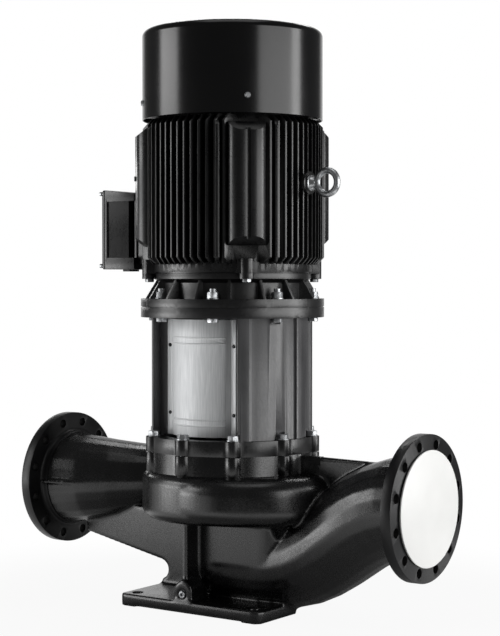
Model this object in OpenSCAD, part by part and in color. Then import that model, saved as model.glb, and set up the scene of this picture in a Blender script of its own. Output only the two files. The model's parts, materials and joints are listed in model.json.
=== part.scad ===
// In-line circulation pump with a vertical close-coupled motor.
// Millimetres, +Z up. The origin lies on the shaft axis at the underside of the foot,
// +X runs along the pipe axis towards the suction flange, -Y is the front window side.

/* [Pipe connections] */
// Distance between the two pipe flange faces
face_to_face = 1100; // [1060:5:1160]
// Height of the pipe axis above the foot underside
pipe_z = 280; // [270:1:300]
// Bore of both ports
port_d = 200; // [190:1:206]
// Outside diameter of the pipe flanges
flange_d = 340; // [336:1:360]
// Thickness of the pipe flanges with the raised face
flange_t = 28; // [24:1:36]
// Bolt circle of the pipe flanges
flange_pcd = 295; // [292:1:298]
// Number of bolt holes in each pipe flange
flange_bolts = 12; // [8:4:16]
// Diameter of the pipe flange bolt holes
flange_hole_d = 23; // [18:0.5:26]
// Bolt hole diameter of the discharge flange
discharge_hole_d = 22; // [18:0.5:26]
// Diameter of the raised sealing face
raised_d = 266; // [256:1:268]
// Height of the raised sealing face
raised_t = 3; // [2:0.5:4]

/* [Casing] */
// Wall thickness of the scroll and ducts
casing_wall = 15; // [12:0.5:18]
// Outside radius of the scroll
scroll_r = 233; // [228:1:238]
// Half of the outside height of the scroll
scroll_half_h = 58; // [54:1:64]
// Rounding of the scroll's shoulders
scroll_round = 26; // [18:1:32]
// Height of the bolted joint between casing and lantern above the pipe axis
joint_up = 105; // [100:1:112]
// Outside radius of the bolting rings of casing and lantern between the lobes
ring_r = 207; // [204:0.5:210]
// Number of bolts and lobes in the casing joint
cover_bolt_n = 10; // [8:1:12]
// Radius of the casing bolt circle
cover_bolt_r = 201; // [198:0.5:204]
// Width of each bolt lobe
lobe_w = 38; // [34:1:42]
// Radius of the bore that takes the seal housing
cover_bore_r = 166; // [162:0.5:170]
// Radius of the seal housing's clamped rim
cover_rim_r = 182; // [178:0.5:186]
// Thickness of the seal housing's clamped rim
cover_rim_t = 12; // [8:0.5:14]
// Thickness of the casing gasket
gasket_t = 2; // [1:0.5:3]

/* [Foot] */
// Left end of the foot plate
foot_left = -223; // [-230:1:-210]
// Right end of the foot plate
foot_right = 197; // [190:1:210]
// Width of the foot plate from front to back
foot_w = 344; // [330:2:360]
// Thickness of the foot plate
foot_t = 30; // [26:1:36]
// Corner radius of the foot plate
foot_corner = 22; // [12:1:30]
// Distance between the foot bolt holes along the pipe
foot_hole_dx = 350; // [330:2:360]
// Distance between the foot bolt holes across the pipe
foot_hole_dy = 280; // [260:2:290]
// Diameter of the foot bolt holes
foot_hole_d = 23; // [18:0.5:26]
// Thickness of the web and rib under the casing
web_t = 14; // [10:0.5:18]

/* [Lantern] */
// Height of the lantern between its two joints
lantern_h = 350; // [344:1:360]
// Outside radius of the lantern's frame bands
lantern_r = 199; // [196:0.5:202]
// Wall thickness of the lantern behind its bands
lantern_wall = 13; // [11:0.5:16]
// Depth of the panels between the lantern's bands
panel_recess = 7; // [4:0.5:9]
// Thickness of the lantern's lower flange
lantern_foot_t = 36; // [32:1:40]
// Thickness of the lantern's upper flange
lantern_top_t = 25; // [20:1:30]
// Half width of the window pocket that the guard sits in
pocket_half_w = 126; // [122:1:130]
// Distance of the guard's seat from the shaft axis
guard_seat = 126; // [122:1:130]
// Half width of the guard with its screw strips
guard_half_w = 102.5; // [98:0.5:106]
// Width of each screw strip of the guard
strip_w = 14.5; // [12:0.5:16]
// Bulge of the guard beyond its screw strips
guard_bulge = 36; // [28:1:40]
// Sheet thickness of the guard
guard_t = 1.5; // [1:0.5:3]

/* [Motor] */
// Outside diameter of the motor flange
motor_flange_d = 450; // [446:1:460]
// Thickness of the motor flange
motor_flange_t = 20; // [18:1:24]
// Number of bolts in the motor flange
motor_bolt_n = 8; // [8:4:8]
// Height from the motor flange face to the frame joint
shield_h = 81; // [76:1:88]
// Length of the motor frame
frame_h = 380; // [370:2:400]
// Radius of the fin tips
fin_r = 222; // [216:1:226]
// Spacing of the cooling fins
fin_pitch = 18.75; // [17:0.25:21]
// Thickness of the cooling fins
fin_t = 4; // [3:0.25:5]
// Outside radius of the frame shell under the fins
shell_r = 188; // [185:0.5:192]
// Radius of the stator bore in the frame
stator_r = 175; // [172:0.5:177]
// Radius of the rotor
rotor_r = 117.4; // [114:0.2:118]
// Air gap between rotor and stator
air_gap = 0.6; // [0.5:0.1:1]
// Length of the stator and rotor stacks
stack_h = 190; // [170:5:210]
// Outside radius of the fan cowl
cowl_r = 221; // [218:1:224]
// Height of the fan cowl
cowl_h = 218; // [205:1:230]
// Sheet thickness of the fan cowl
cowl_t = 2.5; // [2:0.5:4]
// Rounding of the cowl's top edge
cowl_round = 16; // [12:1:30]

/* [Terminal box] */
// Height of the terminal box
box_h = 200; // [190:2:206]
// Width of the terminal box
box_w = 190; // [180:2:196]
// Distance of the box root from the shaft axis
box_root = 236; // [232:1:240]
// Depth of the box body
box_depth = 93; // [84:1:100]
// Thickness of the lid
lid_t = 13; // [10:0.5:16]
// Wall thickness of the box
box_wall = 6; // [4:0.5:8]

/* [Shaft line] */
// Diameter of the motor shaft end
motor_shaft_d = 60; // [56:1:62]
// Length of the motor shaft end below the flange face
motor_shaft_end = 140; // [130:1:144]
// Diameter of the pump shaft in the coupling and seal
pump_shaft_d = 50; // [46:1:52]
// Outside diameter of the impeller
impeller_d = 310; // [290:2:316]
// Outlet width of the impeller
impeller_b = 36; // [30:1:40]
// Radius of the impeller's eye ring
eye_ring_r = 100; // [98:0.5:102]
// Outside radius of the clamp coupling
coupling_r = 74; // [70:1:80]
// Length of the clamp coupling
coupling_h = 214; // [200:2:220]

/* [Fits] */
// Play between seated parts of the same body
seat_gap = 0.1; // [0.05:0.05:0.2]
// Running gap between turning and fixed parts
run_gap = 0.4; // [0.3:0.05:0.6]
// Radial play of the rolling bearings' raceways
bearing_gap = 0.05; // [0.02:0.01:0.08]

/* [Hidden] */

$fn = 96;
eps = 0.5;
// Depth of the turned seats under the cover bolts, rise of the lobes above the flange, relief between them
spot_face = 0.5;
boss_up = 1.5;
lobe_relief = 1;

// Heights of the main joints
flange_x = face_to_face / 2;
joint_z = pipe_z + joint_up;
motor_pcd = motor_flange_d - 50;
spigot_d = motor_flange_d - 100;
lantern_top_z = joint_z + lantern_h;
flange_top_z = lantern_top_z + motor_flange_t;
frame_z = lantern_top_z + shield_h;
frame_top_z = frame_z + frame_h;
cowl_z = frame_top_z - 6;
cowl_screw_up = 34;
cowl_top_z = cowl_z + cowl_h;
scroll_top = pipe_z + scroll_half_h;
scroll_bottom = pipe_z - scroll_half_h;
cover_z = pipe_z + scroll_half_h - casing_wall;
stack_z = frame_z + (frame_h - stack_h) / 2;

// Motor, bearings and shaft line
frame_ring_r = shell_r + 9;
shield_lip_r = 193;
shield_neck_r = motor_pcd / 2 - 22;
lug_r = 205;
lug_w = 46;
lug_h = 34;
bearing_d_r = 70;
bearing_d_in = 32.5;
bearing_d_h = 33;
bearing_n_r = 65;
bearing_n_in = 30;
bearing_n_h = 31;
bearing_d_z = flange_top_z + 32;
bearing_n_z = frame_top_z - 14;
ball_n = 8;
shaft_core_r = 39;
motor_shaft_z = lantern_top_z - motor_shaft_end;
coupling_z = motor_shaft_z - 10 - coupling_h / 2 + 12;
pump_shaft_top = motor_shaft_z - 10;
fan_z = bearing_n_z + bearing_n_h + 40;
fan_r = cowl_r - 56;
fan_h = 52;
fan_shaft_r = 24;
shaft_top_z = fan_z + fan_h + 10;

// Impeller heights
impeller_r = impeller_d / 2;
shroud_t = 6;
outlet_bottom = pipe_z - impeller_b / 2;
outlet_top = pipe_z + impeller_b / 2;
hub_r = 40;
hub_top = outlet_top + 26;
impeller_shaft_r = 20;
hub_bottom = outlet_bottom - 2;
eye_bottom = scroll_bottom + 8;
wear_ring_t = 10;
wear_ring_z = scroll_bottom + 6;
wear_ring_h = 24;
barrel_r = eye_ring_r + 12;
barrel_bore_r = eye_ring_r - 7;

// Seal
seal_chamber_r = 58;
seal_seat_r = 40;
seal_seat_h = 14;
seal_seat_z = cover_z + 48;
neck_r = 54;
neck_top = seal_seat_z + seal_seat_h + 12;
pump_shaft_r = pump_shaft_d / 2;
seal_head_r = 38;
seal_head_h = 16;

// Shapes used in several places

// Points of a ring of n points, radius r, in the plane square to (tx, ty, tz) at p
function tangent_y(t) = [-t[1], t[0], 0] / norm([t[0], t[1], 0]);
function ring_points(p, t, r, n) =
    let (u = tangent_y(t), v = cross(t / norm(t), u))
    [for (k = [0 : n - 1]) p + r * (cos(360 * k / n) * u + sin(360 * k / n) * v)];

// Closed skin over a list of rings that all have n points
module skin(rings, n) {
    m = len(rings);
    points = [for (ring = rings) each ring];
    sides = [
        for (i = [0 : m - 2]) for (k = [0 : n - 1]) each [
            [i * n + k, (i + 1) * n + k, (i + 1) * n + (k + 1) % n],
            [i * n + k, (i + 1) * n + (k + 1) % n, i * n + (k + 1) % n]
        ]
    ];
    caps = [
        [for (k = [0 : n - 1]) k],
        [for (k = [n - 1 : -1 : 0]) (m - 1) * n + k]
    ];
    polyhedron(points, concat(caps, sides), convexity = 6);
}

// Cubic curve and its direction
function curve(p, t) =
    pow(1 - t, 3) * p[0] + 3 * pow(1 - t, 2) * t * p[1] + 3 * (1 - t) * t * t * p[2] + t * t * t * p[3];
function curve_dir(p, t) =
    3 * pow(1 - t, 2) * (p[1] - p[0]) + 6 * (1 - t) * t * (p[2] - p[1]) + 3 * t * t * (p[3] - p[2]);
function ease(t) = t * t * (3 - 2 * t);

module ring(r_out, r_in, h) {
    difference() {
        cylinder(r = r_out, h = h);
        translate([0, 0, -1]) cylinder(r = r_in, h = h + 2);
    }
}

// Hexagon head or nut on the XY plane
module hexagon(across_flats, h) {
    cylinder(d = across_flats / cos(30), h = h, $fn = 6);
}

// Hexagon bolt with its head seat at z = 0, head upwards and shank downwards
module hex_bolt(d, shank, across_flats, head_h) {
    intersection() {
        hexagon(across_flats, head_h);
        cylinder(r1 = across_flats * 0.72, r2 = across_flats * 0.52, h = head_h);
    }
    translate([0, 0, -shank]) cylinder(d = d, h = shank + eps, $fn = 32);
}

module around(n, r, start = 0) {
    for (k = [0 : n - 1]) rotate([0, 0, start + 360 * k / n]) translate([r, 0, 0]) children();
}

// Places on the four diagonals of the motor
module diagonals(r) {
    around(4, r, 45) children();
}

// Casing

// The scroll is an eccentric turned body, its channel is a spiral that opens towards the outlet
scroll_c = [9, 6];
scroll_points = 48;
tongue_a = 100;
function turned(a) = a >= tongue_a ? a : a + 360;
function channel_at(a) = cover_bore_r + 2 + 46 * (turned(a) - tongue_a) / 360;

swell_c = [55, 2];
swell_round = 40;
// Point by which the scroll's corner runs down to the crest of the suction duct
run_down_a = -36;
run_down_tip = [203, -97, 201];
run_down_tip_r = 8;
module scroll_disc(c, r, half_h, corner) {
    translate([c[0], c[1], pipe_z]) rotate_extrude() {
        translate([0, -half_h]) square([r - corner, 2 * half_h]);
        translate([0, corner - half_h]) square([r, 2 * (half_h - corner)]);
        for (side = [-1, 1]) translate([r - corner, side * (half_h - corner)])
            circle(r = corner, $fn = 32);
    }
}

module scroll() {
    scroll_disc(scroll_c, scroll_r, scroll_half_h, scroll_round);
    scroll_disc(swell_c, scroll_r, scroll_half_h - 1, swell_round);
    hull() {
        translate([swell_c[0], swell_c[1], scroll_bottom + 1 + swell_round]) rotate([0, 0, run_down_a])
            translate([scroll_r - swell_round, 0, 0]) sphere(r = swell_round, $fn = 32);
        translate(run_down_tip) sphere(r = run_down_tip_r, $fn = 16);
    }
}

module channel() {
    half_h = scroll_half_h - casing_wall;
    intersection() {
        scroll_disc(swell_c, scroll_r - casing_wall, half_h - 1, swell_round - casing_wall);
        translate([15, -scroll_r, pipe_z - half_h]) cube([scroll_r + swell_c[0], 2 * scroll_r, 2 * half_h]);
    }
    translate([0, 0, pipe_z - half_h])
        linear_extrude(2 * half_h)
        polygon([
            for (k = [0 : scroll_points])
            let (a = tongue_a + 359 * k / scroll_points)
            channel_at(a) * [cos(a), sin(a)]
        ]);
}

// Suction duct: from the flange it dips under the scroll and runs into the barrel under the eye
duct_r = 94;
duct_low_z = 118;
duct_sides = 24;
duct_to = 130;
suction_curve = [
    [flange_x - flange_t, 0, pipe_z],
    [flange_x - 195, 0, pipe_z],
    [flange_x - 245, 0, duct_low_z],
    [duct_to, 0, duct_low_z]
];

module suction_duct(wall) {
    rings = [
        for (t = [0 : 1 / 10 : 1])
        ring_points(
            curve(suction_curve, t), curve_dir(suction_curve, t),
            duct_r + (port_d / 2 - duct_r) * (1 - t) + wall * (1 + (1 - t) * (1 - t) / 4), duct_sides
        )
    ];
    skin(concat(rings, [ring_points([0, 0, duct_low_z], [-1, 0, 0], duct_r + wall, duct_sides)]), duct_sides);
}

// Barrel under the impeller eye with a domed floor
module barrel(r, top) {
    rotate_extrude() polygon(concat(
        [[0, top], [r, top]],
        [for (f = [0 : 10 : 90]) [r * cos(f), duct_low_z - (r - 6) * sin(f)]]
    ));
}

// Upright wall of the leg, between the barrel and the place where the duct's crest leaves the scroll
leg_run = 150;
module leg_wall() {
    wall_h = scroll_bottom + 10 - duct_low_z;
    hull() {
        translate([0, 0, duct_low_z]) cylinder(r = barrel_r, h = wall_h);
        translate([leg_run, 0, duct_low_z]) cylinder(r = duct_r + casing_wall, h = wall_h);
    }
}

// Outlet duct: from the scroll's throat at the back it swings onto the pipe axis
throat_r = scroll_half_h;
neck_extra = 8;
throat_y = scroll_r + scroll_c[1] - throat_r;
outlet_l = flange_x - flange_t;
outlet_rise = 6;
function outlet_point(t) = [-outlet_l * t, throat_y * (1 - ease(t)), pipe_z + outlet_rise * sin(180 * t)];
function outlet_dir(t) = [-outlet_l, -throat_y * 6 * t * (1 - t), outlet_rise * PI * cos(180 * t)];
function outlet_r(t) = throat_r + (port_d / 2 + casing_wall + neck_extra - 1 - throat_r) * pow(t, 1.5);

module outlet_duct(wall) {
    skin([
        for (t = [0 : 1 / 8 : 1])
        ring_points(outlet_point(t), outlet_dir(t), outlet_r(t) - wall * (1 + t / 2), duct_sides)
    ], duct_sides);
}

// Thin horizontal fin along both sides of the outlet duct
module outlet_fin() {
    fin_out = 9;
    fin_h = 9;
    steps = [0.25 : 0.125 : 1];
    front = [for (t = steps) outlet_point(t) - [0, outlet_r(t) + fin_out, 0]];
    back = [for (t = steps) outlet_point(1.25 - t) + [0, outlet_r(1.25 - t) + fin_out, 0]];
    translate([0, 0, pipe_z - fin_h / 2])
        linear_extrude(fin_h)
        polygon([for (p = concat(front, back)) [p[0], p[1]]]);
}

module pipe_flange() {
    translate([0, 0, pipe_z]) rotate([0, 90, 0]) {
        translate([0, 0, flange_x - flange_t]) cylinder(d = flange_d, h = flange_t - raised_t);
        translate([0, 0, flange_x - flange_t]) cylinder(d = raised_d, h = flange_t);
    }
}

module pipe_flange_holes(hole_d) {
    translate([0, 0, pipe_z]) rotate([0, 90, 0])
        around(flange_bolts, flange_pcd / 2, 180 / flange_bolts)
        translate([0, 0, flange_x - flange_t - 1]) cylinder(d = hole_d, h = flange_t + 2);
}

pad = 50;
foot_x = (foot_left + foot_right) / 2;
module foot_plate() {
    length = foot_right - foot_left;
    relief = 13;
    front_relief = 4;
    difference() {
        union() {
            translate([foot_left + foot_corner, -foot_w / 2, 0])
                cube([length - 2 * foot_corner, foot_w, foot_t]);
            translate([foot_left, -foot_w / 2 + foot_corner, 0])
                cube([length, foot_w - 2 * foot_corner, foot_t]);
            for (x = [foot_left + foot_corner, foot_right - foot_corner]) for (side = [-1, 1])
                translate([x, side * (foot_w / 2 - foot_corner), 0])
                cylinder(r = foot_corner, h = foot_t);
        }
        for (x = [foot_left - 1, foot_right - pad])
            translate([x, -8, -1]) cube([pad + 1, foot_w / 2 + 9, relief + 1]);
        translate([foot_left + pad, -foot_w / 2 - 1, -1])
            cube([length - 2 * pad, 13, front_relief + 1]);
    }
}

module foot_holes() {
    for (x = [-1, 1]) for (y = [-1, 1])
        translate([foot_x + x * foot_hole_dx / 2, y * foot_hole_dy / 2, -1])
        cylinder(d = foot_hole_d, h = foot_t + 2);
}

// Web in the plane of the pipe axis and the cross rib with the drain boss
drain_x = -28;
drain_z = 46;
drain_r = 8.5;
drain_face = foot_w / 2 - 4;
module foot_webs() {
    notch_r = 24;
    notch = [foot_left + 1, 66];
    rotate([90, 0, 0])
        translate([0, 0, -web_t / 2])
        linear_extrude(web_t)
        polygon(concat(
            [[-flange_x + 80, pipe_z - 60], [-flange_x + 80, 142]],
            [for (f = [80 : -20 : -80]) notch + notch_r * [cos(f), sin(f)]],
            [[foot_left + 6, foot_t - 2], [0, foot_t - 2], [0, pipe_z - 60]]
        ));
    translate([drain_x - web_t / 2, -160, foot_t - 2]) cube([web_t, 320, scroll_bottom - foot_t + 12]);
    translate([drain_x, -drain_face, 0]) rotate([-90, 0, 0]) {
        translate([0, -54, 0]) cylinder(r = 26, h = 60);
        translate([-26, -54, 0]) cube([52, 54 - foot_t + 2, 60]);
    }
    rotate([90, 0, 0])
        translate([0, 0, -web_t / 2])
        linear_extrude(web_t)
        polygon([
            [190, pipe_z], [190, joint_z - 4], [ring_r + 53, joint_z - 4], [flange_x - 114, joint_z - 8],
            [flange_x - 104, pipe_z + 60], [300, pipe_z - 60], [190, pipe_z - 80]
        ]);
}

module casing_lobes(z, h, foot) {
    around(cover_bolt_n, cover_bolt_r, -90) {
        translate([0, 0, z]) cylinder(d = lobe_w, h = h);
        if (foot > 0) translate([0, 0, z - foot])
            cylinder(r1 = lobe_w / 2 - 12, r2 = lobe_w / 2, h = foot + 0.01);
    }
}

module volute_casing() {
    color("#1b1c1d") difference() {
        union() {
            difference() {
                union() {
                    scroll();
                    suction_duct(casing_wall);
                    barrel(barrel_r, scroll_bottom + 20);
                    leg_wall();
                    outlet_duct(0);
                    outlet_fin();
                    foot_webs();
                    translate([0, 0, scroll_top - 12]) cylinder(r = ring_r, h = joint_z - scroll_top + 12);
                    casing_lobes(scroll_top + 4, joint_z - scroll_top - 4 - lobe_relief, 22);
                    pipe_flange();
                    mirror([1, 0, 0]) pipe_flange();
                    foot_plate();
                }
                channel();
                suction_duct(0);
                outlet_duct(casing_wall);
                barrel(barrel_bore_r, wear_ring_z + 1);
            }
            translate([0, 0, scroll_bottom + 2])
                ring(eye_ring_r + 26, barrel_bore_r, wear_ring_z + wear_ring_h - scroll_bottom - 2);
        }
        translate([0, 0, wear_ring_z]) cylinder(r = eye_ring_r + wear_ring_t, h = wear_ring_h + 2);
        translate([0, 0, pipe_z + 20]) cylinder(r = cover_bore_r, h = joint_up);
        translate([0, 0, joint_z - cover_rim_t - gasket_t]) cylinder(r = cover_rim_r + seat_gap, h = 40);
        around(cover_bolt_n, cover_bolt_r, -90) translate([0, 0, joint_z - 34])
            cylinder(d = 16 + 2 * seat_gap, h = 40);
        for (side = [-1, 1]) translate([0, 0, pipe_z]) rotate([0, side * 90, 0])
            translate([0, 0, flange_x - flange_t - 8]) cylinder(d = port_d, h = flange_t + 10);
        pipe_flange_holes(flange_hole_d);
        mirror([1, 0, 0]) pipe_flange_holes(discharge_hole_d);
        foot_holes();
        translate([drain_x, -drain_face - 1, drain_z]) rotate([-90, 0, 0])
            cylinder(r = drain_r + seat_gap, h = 26);
    }
}

module wear_ring() {
    color("#a5793c")
        translate([0, 0, wear_ring_z])
        ring(eye_ring_r + wear_ring_t - seat_gap, eye_ring_r + run_gap, wear_ring_h);
}

module casing_gasket() {
    color("#3a3d3c")
        translate([0, 0, joint_z - cover_rim_t - gasket_t])
        ring(cover_rim_r - 1, cover_bore_r + 1, gasket_t);
}

module seal_housing() {
    floor_t = 16;
    skirt = 14;
    color("#4a4c4d") difference() {
        union() {
            translate([0, 0, cover_z])
                cylinder(r = cover_bore_r - seat_gap, h = joint_z - cover_rim_t - cover_z);
            translate([0, 0, joint_z - cover_rim_t]) cylinder(r = cover_rim_r, h = cover_rim_t);
            translate([0, 0, joint_z - 1]) cylinder(r = neck_r, h = neck_top - joint_z + 1);
        }
        translate([0, 0, cover_z + floor_t]) ring(cover_bore_r - skirt, seal_chamber_r + skirt, joint_up);
        translate([0, 0, cover_z - 1]) cylinder(r = seal_chamber_r, h = seal_seat_z - cover_z + 1);
        translate([0, 0, seal_seat_z - 1]) cylinder(r = seal_seat_r, h = seal_seat_h + 1);
        translate([0, 0, seal_seat_z]) cylinder(r = pump_shaft_r + 5, h = 80);
    }
}

module seal_seat() {
    color("#8d9298")
        translate([0, 0, seal_seat_z])
        ring(seal_seat_r - seat_gap, pump_shaft_r + 2, seal_seat_h);
}

module cover_bolts() {
    color("#c4c7ca")
        around(cover_bolt_n, cover_bolt_r, -90)
        translate([0, 0, joint_z + lantern_foot_t + boss_up - spot_face]) {
            ring(15, 8, 3);
            translate([0, 0, 3]) hex_bolt(16, lantern_foot_t + 30, 24, 10);
        }
}

module drain_plug() {
    color("#9a9ea1")
        translate([drain_x, -drain_face - 2, drain_z]) rotate([-90, 0, 0]) difference() {
            cylinder(r = drain_r, h = 24);
            translate([0, 0, -1]) cylinder(d = 9, h = 7, $fn = 6);
        }
}

// Lantern with its guards

guard_z = joint_z + lantern_foot_t + 5;
guard_h = lantern_h - lantern_foot_t - lantern_top_t - 9;
window_z = joint_z + lantern_foot_t;
window_h = lantern_h - lantern_foot_t - lantern_top_t;
window_half_w = guard_half_w - strip_w;
guard_screw_z = [guard_z + 53, guard_z + guard_h - 63];

module lantern_jamb() {
    jamb_w = pocket_half_w + 20 - window_half_w;
    intersection() {
        for (side = [-1, 1])
            translate([side * (window_half_w + jamb_w / 2), -guard_seat - 12, window_z + window_h / 2])
            cube([jamb_w, 52, window_h + 2], center = true);
        translate([0, 0, window_z - 1]) cylinder(r = lantern_r, h = window_h + 2);
    }
}

module lantern() {
    inner_r = lantern_r - panel_recess - lantern_wall;
    bolt_space_r = 17;
    color("#2b2c2d") difference() {
        union() {
            translate([0, 0, joint_z]) cylinder(r = ring_r, h = lantern_foot_t);
            casing_lobes(joint_z + lobe_relief, lantern_foot_t - lobe_relief + boss_up, 0);
            translate([0, 0, lantern_top_z - lantern_top_t]) cylinder(d = motor_flange_d, h = lantern_top_t);
            translate([0, 0, window_z - 1]) ring(lantern_r - panel_recess, inner_r, window_h + 2);
            for (side = [0, 180]) rotate([0, 0, side]) {
                lantern_jamb();
                intersection() {
                    translate([inner_r + 2, -13, window_z - 1]) cube([40, 26, window_h + 2]);
                    translate([0, 0, window_z - 1]) cylinder(r = lantern_r, h = window_h + 2);
                }
            }
        }
        translate([0, 0, joint_z - 1]) cylinder(r = cover_bore_r + 4, h = lantern_foot_t + 2);
        translate([0, 0, lantern_top_z - lantern_top_t - 1])
            cylinder(d = spigot_d - 12, h = lantern_top_t + 2);
        translate([0, 0, lantern_top_z - 6]) cylinder(d = spigot_d + 2 * seat_gap, h = 8);
        for (side = [0, 180]) rotate([0, 0, side]) {
            translate([-pocket_half_w, -lantern_r - 20, window_z])
                cube([2 * pocket_half_w, lantern_r + 20 - guard_seat, window_h]);
            translate([-window_half_w, -lantern_r - 20, window_z])
                cube([2 * window_half_w, lantern_r - 20, window_h]);
            for (x = [-1, 1]) for (z = guard_screw_z)
                translate([x * (guard_half_w - strip_w / 2), -guard_seat - 1, z])
                rotate([-90, 0, 0]) cylinder(d = 5 + 2 * seat_gap, h = 11);
        }
        around(cover_bolt_n, cover_bolt_r, -90) {
            translate([0, 0, joint_z - 1]) cylinder(d = 17.5, h = lantern_foot_t + 2);
            translate([0, 0, window_z + boss_up - spot_face]) cylinder(r = bolt_space_r, h = 18);
        }
        around(motor_bolt_n, motor_pcd / 2, 180 / motor_bolt_n) {
            translate([0, 0, lantern_top_z - lantern_top_t - 1]) cylinder(d = 17.5, h = lantern_top_t + 2);
            translate([0, 0, lantern_top_z - lantern_top_t - 14]) cylinder(r = bolt_space_r, h = 14);
        }
    }
}

// Guard sheet on the -Y side: two flat screw strips and a bulged panel with four pressed beads
module guard() {
    half = window_half_w;
    bend_r = (half * half + guard_bulge * guard_bulge) / (2 * guard_bulge);
    bend_y = -guard_seat - guard_t - guard_bulge + bend_r;
    bead_half = asin(half / bend_r) - 6;
    bead_z = [26, 41, guard_h - 58, guard_h - 43];
    translate([0, 0, guard_z]) {
        difference() {
            for (side = [-1, 1])
                translate([side * (half - 1.5 + (strip_w + 1.5) / 2), -guard_seat - guard_t / 2, guard_h / 2])
                cube([strip_w + 1.5, guard_t, guard_h], center = true);
            for (x = [-1, 1]) for (z = guard_screw_z)
                translate([x * (guard_half_w - strip_w / 2), -guard_seat - 5, z - guard_z])
                rotate([-90, 0, 0]) cylinder(d = 5.4, h = 10);
        }
        intersection() {
            translate([0, bend_y, 0]) ring(bend_r, bend_r - guard_t, guard_h);
            translate([-half, -guard_seat - guard_t - guard_bulge - 1, -1])
                cube([2 * half, guard_bulge + guard_t + 1, guard_h + 2]);
        }
        for (z = bead_z)
            translate([0, bend_y, z])
            rotate([0, 0, -90 - bead_half])
            rotate_extrude(angle = 2 * bead_half)
            translate([bend_r - 0.3, 0]) circle(r = 1.8, $fn = 16);
    }
}

module front_guard() {
    color("#d3d5d6") guard();
}

module rear_guard() {
    color("#d3d5d6") rotate([0, 0, 180]) guard();
}

module guard_screws() {
    color("#77797b")
        for (side = [0, 180]) rotate([0, 0, side])
        for (x = [-1, 1]) for (z = guard_screw_z)
        translate([x * (guard_half_w - strip_w / 2), -guard_seat - guard_t, z]) rotate([90, 0, 0]) {
            cylinder(r1 = 4.6, r2 = 3.2, h = 2.6);
            translate([0, 0, -10]) cylinder(d = 5, h = 10.5);
        }
}

// Motor

// Sixteen ribs stand in pairs beside the flange bolts
rib_t = 7;
rib_offset = 11;
module shield_ribs() {
    for (k = [0 : motor_bolt_n - 1]) for (side = [-1, 1])
        rotate([90, 0, 180 * (2 * k + 1) / motor_bolt_n + side * rib_offset])
        translate([0, 0, -rib_t / 2])
        linear_extrude(rib_t)
        polygon([
            [shield_neck_r - 4, flange_top_z - 1], [motor_pcd / 2 + 13, flange_top_z - 1],
            [motor_pcd / 2 + 13, flange_top_z + 2],
            [shield_neck_r + 4, frame_z - 8], [shield_neck_r - 4, frame_z - 8]
        ]);
}

module drive_end_shield() {
    hub = bearing_d_r + 20;
    lip_h = 13;
    color("#202122") difference() {
        union() {
            translate([0, 0, lantern_top_z]) cylinder(d = motor_flange_d, h = motor_flange_t);
            translate([0, 0, lantern_top_z - 5]) cylinder(d = spigot_d, h = 6);
            translate([0, 0, flange_top_z - 1]) cylinder(r = shield_neck_r, h = frame_z - flange_top_z + 1);
            translate([0, 0, frame_z - lip_h]) cylinder(r = shield_lip_r, h = lip_h);
            translate([0, 0, frame_z - lip_h - 10])
                cylinder(r1 = shield_neck_r - 1, r2 = shield_lip_r, h = 10.01);
            translate([0, 0, frame_z - 1]) cylinder(r = stator_r - seat_gap, h = 11);
            diagonals(lug_r) translate([0, 0, frame_z - lip_h]) cylinder(d = lug_w - 10, h = lip_h);
            shield_ribs();
        }
        translate([0, 0, flange_top_z]) ring(shield_neck_r - 12, hub, 200);
        translate([0, 0, frame_z - lip_h]) ring(stator_r - 9, hub, 200);
        translate([0, 0, lantern_top_z - 6]) cylinder(r = pump_shaft_r + 20, h = motor_flange_t + 12);
        translate([0, 0, flange_top_z + 4]) cylinder(r = bearing_d_r - 10, h = 80);
        translate([0, 0, bearing_d_z]) cylinder(r = bearing_d_r, h = 80);
        translate([0, 0, bearing_d_z + bearing_d_h]) cylinder(r = hub + 1, h = 80);
        around(motor_bolt_n, motor_pcd / 2, 180 / motor_bolt_n)
            translate([0, 0, lantern_top_z - 1]) cylinder(d = 17.5, h = motor_flange_t + 2);
        diagonals(lug_r) translate([0, 0, frame_z - lip_h - 1]) cylinder(d = 13, h = lip_h + 2);
    }
}

module motor_bolts() {
    color("#c4c7ca")
        around(motor_bolt_n, motor_pcd / 2, 180 / motor_bolt_n)
        translate([0, 0, lantern_top_z - lantern_top_t])
        rotate([180, 0, 0]) hex_bolt(16, lantern_top_t + motor_flange_t + 25, 24, 10);
}

module motor_nuts() {
    color("#c4c7ca")
        around(motor_bolt_n, motor_pcd / 2, 180 / motor_bolt_n)
        translate([0, 0, flange_top_z]) {
            ring(15, 8 + seat_gap, 3);
            translate([0, 0, 3]) difference() {
                intersection() {
                    hexagon(24, 14);
                    cylinder(r1 = 17, r2 = 12.6, h = 14);
                }
                translate([0, 0, -1]) cylinder(r = 8 + seat_gap, h = 16);
            }
        }
}

module drive_shield_bolts() {
    color("#9a9da0")
        diagonals(lug_r)
        translate([0, 0, frame_z - 13]) rotate([180, 0, 0]) hex_bolt(12, 32, 19, 8);
}

// Parallel fins of one side of the frame, between the corner pads
fin_count = 6;
fin_chamfer = 16;
module frame_fins() {
    intersection() {
        for (q = [0 : 3]) rotate([0, 0, 90 * q])
            for (k = [-fin_count : fin_count])
            let (y = k * fin_pitch)
            translate([shell_r * cos(asin(y / shell_r)) - 8, y - fin_t / 2, frame_z + 22])
            cube([fin_r, fin_t, frame_h - 30]);
        translate([0, 0, frame_z + 22]) {
            cylinder(r1 = fin_r - fin_chamfer, r2 = fin_r, h = fin_chamfer);
            translate([0, 0, fin_chamfer]) cylinder(r = fin_r, h = frame_h - 30 - 2 * fin_chamfer);
            translate([0, 0, frame_h - 30 - fin_chamfer])
                cylinder(r1 = fin_r, r2 = fin_r - fin_chamfer, h = fin_chamfer);
        }
    }
}

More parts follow.
